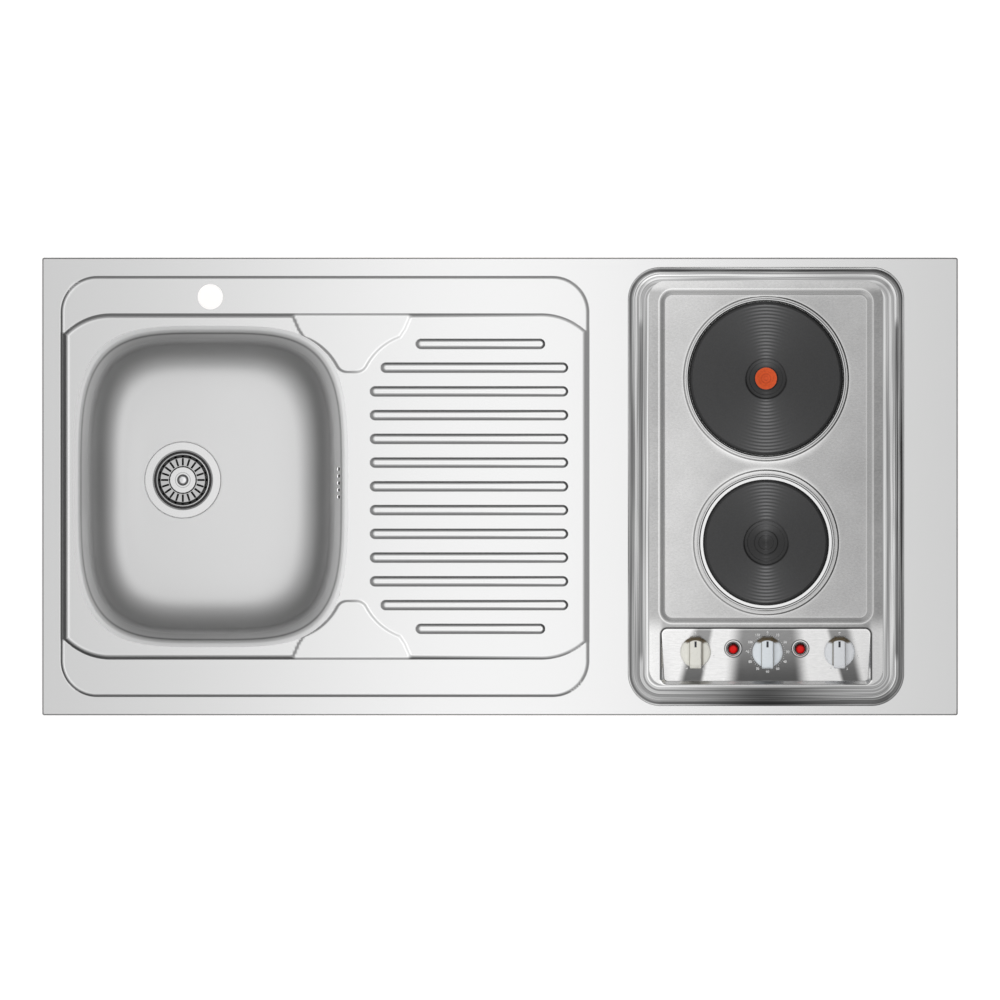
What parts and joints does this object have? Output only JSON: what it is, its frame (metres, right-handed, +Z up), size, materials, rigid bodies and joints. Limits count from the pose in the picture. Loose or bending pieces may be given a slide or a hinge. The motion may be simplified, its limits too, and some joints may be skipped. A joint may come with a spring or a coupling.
{
  "type": "kitchenette worktop with sink and hob",
  "caption": "Stainless lay-on kitchenette worktop with drawn sink bowl, ribbed drainer and electric hob with round plates, rotary dials and signal lamps.",
  "frame": {"origin": "middle of the underside of the middle batten, in the plane that lies on the cabinet", "axes": "+X along the worktop from the bowl to the hob, +Y to the wall behind, +Z up"},
  "size_m": [1.2, 0.6, 0.2605],
  "materials": {
    "worktop_steel": "satin stainless steel",
    "bowl_steel": "satin stainless steel",
    "pad_rubber": "matt",
    "timber": "planed",
    "chipboard": "pressed chips",
    "zinc_steel": "zinc plated",
    "waste_chrome": "polished",
    "seal_rubber": "matt",
    "white_plastic": "moulded",
    "screw_steel": "zinc plated",
    "grey_plastic": "moulded",
    "hose_plastic": "moulded",
    "hob_steel": "satin stainless steel",
    "hotplate_iron": "turned and coated",
    "ring_steel": "polished stainless steel",
    "ceramic": "matt",
    "switch_plastic": "moulded",
    "timer_plastic": "moulded",
    "shaft_steel": "turned",
    "knob_ivory": "satin",
    "knob_white": "satin",
    "knob_pale": "satin",
    "bezel_chrome": "polished",
    "lens_red": "clear red",
    "gland_plastic": "moulded"
  },
  "bodies": {
    "kitchen_top": {"worktop": "worktop_steel", "bowl": "bowl_steel", "bowl_sound_pad": "pad_rubber", "rail_front": "timber", "rail_rear": "timber", "rail_left": "timber", "rail_right": "timber", "cross_rail_hob": "timber", "batten_sink": "timber", "batten_middle": "timber", "board_rear": "chipboard", "board_front": "chipboard", "board_drainer": "chipboard", "tap_plate": "zinc_steel", "fixing_angles": "zinc_steel", "waste_flange": "waste_chrome", "waste_gasket_upper": "seal_rubber", "waste_gasket_lower": "seal_rubber", "waste_body": "white_plastic", "waste_screw": "screw_steel", "overflow_collector": "grey_plastic", "overflow_hose": "hose_plastic", "hob_top": "hob_steel", "hob_gasket": "seal_rubber", "hob_tray": "zinc_steel", "tray_screws": "screw_steel", "hob_clamps": "zinc_steel", "clamp_screws": "screw_steel", "rear_hotplate": "hotplate_iron", "front_hotplate": "hotplate_iron", "rear_heater": "ceramic", "front_heater": "ceramic", "rear_spill_ring": "ring_steel", "front_spill_ring": "ring_steel", "rear_plate_bar": "zinc_steel", "front_plate_bar": "zinc_steel", "plate_nuts": "screw_steel", "rear_terminals": "ceramic", "front_terminals": "ceramic", "control_bracket": "zinc_steel", "left_switch": "switch_plastic", "right_switch": "switch_plastic", "timer_body": "timer_plastic", "left_lamp_bezel": "bezel_chrome", "right_lamp_bezel": "bezel_chrome", "left_lamp_lens": "lens_red", "right_lamp_lens": "lens_red", "left_lamp_holder": "white_plastic", "right_lamp_holder": "white_plastic", "terminal_block": "white_plastic", "cable_gland": "gland_plastic"},
    "left_dial": {"left_shaft": "shaft_steel", "left_knob": "knob_ivory"},
    "right_dial": {"right_shaft": "shaft_steel", "right_knob": "knob_white"},
    "timer_dial": {"timer_shaft": "shaft_steel", "timer_knob": "knob_pale"},
    "strainer": {"strainer_basket": "waste_chrome", "basket_seal": "seal_rubber", "basket_knob": "waste_chrome"}
  },
  "joints": [
    {"name": "left_dial_turn", "type": "hinge", "parent": "kitchen_top", "child": "left_dial", "pos_m": [0.2562, -0.21676, 0.04374], "axis": [0, -0.0523, 0.9986], "continuous": true},
    {"name": "right_dial_turn", "type": "hinge", "parent": "kitchen_top", "child": "right_dial", "pos_m": [0.4448, -0.21676, 0.04374], "axis": [0, -0.0523, 0.9986], "continuous": true},
    {"name": "timer_turn", "type": "hinge", "parent": "kitchen_top", "child": "timer_dial", "pos_m": [0.3505, -0.21676, 0.04374], "axis": [0, 0.0523, -0.9986], "range_deg": [0, 330]},
    {"name": "strainer_lift", "type": "slide", "parent": "kitchen_top", "child": "strainer", "axis": [0, 0, 1], "range_m": [0, 0.2]}
  ]
}
